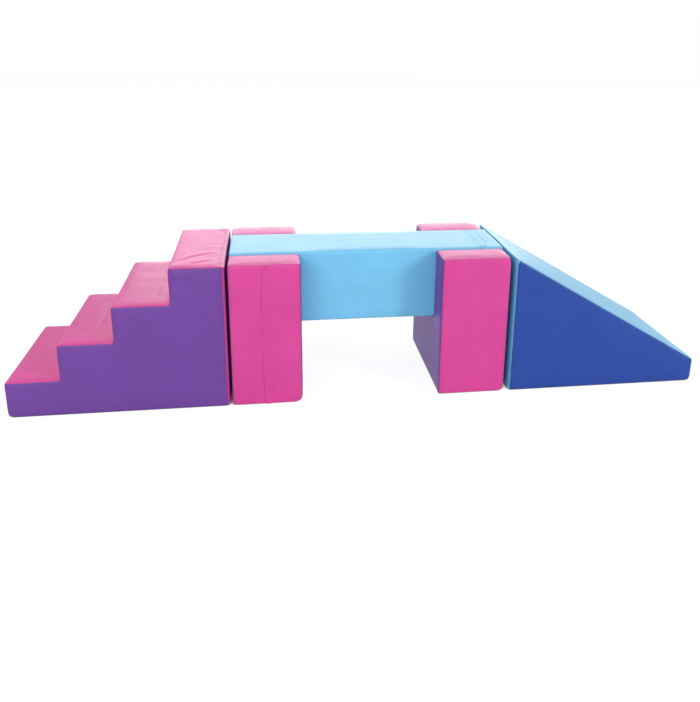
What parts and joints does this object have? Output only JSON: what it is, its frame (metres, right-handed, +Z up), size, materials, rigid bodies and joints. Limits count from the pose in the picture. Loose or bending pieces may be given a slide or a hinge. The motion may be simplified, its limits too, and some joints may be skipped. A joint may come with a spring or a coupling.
{
  "type": "soft play foam climber",
  "caption": "Foam climber for toddlers: steps, two notched posts carrying a foam beam with a crawl space below, and a ramp, each a foam core in a sewn cover with a closing flap.",
  "frame": {"origin": "centre of the footprint, on the floor, under the middle of the beam", "axes": "+X along the climber from the steps to the ramp, +Y to the rear, +Z up"},
  "size_m": [2.9, 0.607, 0.6118],
  "materials": {
    "purple_cover": "satin",
    "pink_cover": "satin",
    "sky_cover": "satin",
    "blue_cover": "satin",
    "base_cover": "matte",
    "tape": "matte",
    "foam": "matte"
  },
  "bodies": {
    "left_post": {"left_post_foam_base": "foam", "left_post_foam_front_arm": "foam", "left_post_foam_rear_arm": "foam", "left_post_outer_side_cover": "purple_cover", "left_post_inner_side_cover": "purple_cover", "left_post_base_cover": "base_cover", "left_post_rear_cover": "pink_cover", "left_post_top_cover": "pink_cover", "left_post_front_cover_outer": "pink_cover", "left_post_front_cover_inner": "pink_cover", "left_post_loop_tape": "tape"},
    "left_post_flap": {"left_post_closing_flap": "pink_cover", "left_post_hook_tape": "tape"},
    "right_post": {"right_post_foam_base": "foam", "right_post_foam_front_arm": "foam", "right_post_foam_rear_arm": "foam", "right_post_outer_side_cover": "purple_cover", "right_post_inner_side_cover": "purple_cover", "right_post_base_cover": "base_cover", "right_post_front_cover": "pink_cover", "right_post_top_cover": "pink_cover", "right_post_rear_cover_outer": "pink_cover", "right_post_rear_cover_inner": "pink_cover", "right_post_loop_tape": "tape"},
    "right_post_flap": {"right_post_closing_flap": "pink_cover", "right_post_hook_tape": "tape"},
    "beam": {"beam_foam": "foam", "beam_stairs_end_cover": "sky_cover", "beam_ramp_end_cover": "sky_cover", "beam_wrap_cover": "sky_cover", "beam_collar_cover": "sky_cover", "beam_loop_tape": "tape"},
    "beam_flap": {"beam_closing_flap": "sky_cover", "beam_hook_tape": "tape"},
    "stairs": {"stairs_foam_layer_1": "foam", "stairs_foam_layer_2": "foam", "stairs_foam_layer_3": "foam", "stairs_foam_layer_4": "foam", "stairs_front_side_cover": "purple_cover", "stairs_rear_side_cover": "purple_cover", "stairs_base_cover": "base_cover", "stairs_step_cover": "pink_cover", "stairs_back_cover_front": "pink_cover", "stairs_back_cover_rear": "pink_cover", "stairs_loop_tape": "tape"},
    "stairs_flap": {"stairs_closing_flap": "pink_cover", "stairs_hook_tape": "tape"},
    "ramp": {"ramp_foam": "foam", "ramp_front_side_cover": "blue_cover", "ramp_rear_side_cover": "blue_cover", "ramp_base_cover": "base_cover", "ramp_slope_cover": "sky_cover", "ramp_back_cover_front": "sky_cover", "ramp_back_cover_rear": "sky_cover", "ramp_loop_tape": "tape"},
    "ramp_flap": {"ramp_closing_flap": "sky_cover", "ramp_hook_tape": "tape"}
  },
  "joints": [
    {"name": "stairs_slide", "type": "slide", "parent": "left_post", "child": "stairs", "axis": [-1, 0, 0], "range_m": [0, 0.3]},
    {"name": "right_post_slide", "type": "slide", "parent": "left_post", "child": "right_post", "axis": [1, 0, 0], "range_m": [0, 0.2]},
    {"name": "beam_lift", "type": "slide", "parent": "left_post", "child": "beam", "axis": [0, 0, 1], "range_m": [0, 0.35]},
    {"name": "ramp_slide", "type": "slide", "parent": "right_post", "child": "ramp", "axis": [1, 0, 0], "range_m": [0, 0.3]},
    {"name": "left_post_flap_hinge", "type": "hinge", "parent": "left_post", "child": "left_post_flap", "pos_m": [-0.416, -0.3035, 0.3], "axis": [0, 0, 1], "range_deg": [0, 150]},
    {"name": "right_post_flap_hinge", "type": "hinge", "parent": "right_post", "child": "right_post_flap", "pos_m": [0.416, 0.3035, 0.3], "axis": [0, 0, 1], "range_deg": [0, 150]},
    {"name": "beam_flap_hinge", "type": "hinge", "parent": "beam", "child": "beam_flap", "pos_m": [0.476, 0, 0.6118], "axis": [0, -1, 0], "range_deg": [0, 150]},
    {"name": "stairs_flap_hinge", "type": "hinge", "parent": "stairs", "child": "stairs_flap", "pos_m": [-0.5865, 0.0165, 0.3], "axis": [0, 0, 1], "range_deg": [0, 19]},
    {"name": "ramp_flap_hinge", "type": "hinge", "parent": "ramp", "child": "ramp_flap", "pos_m": [0.5965, 0.0165, 0.3], "axis": [0, 0, -1], "range_deg": [0, 40]}
  ]
}
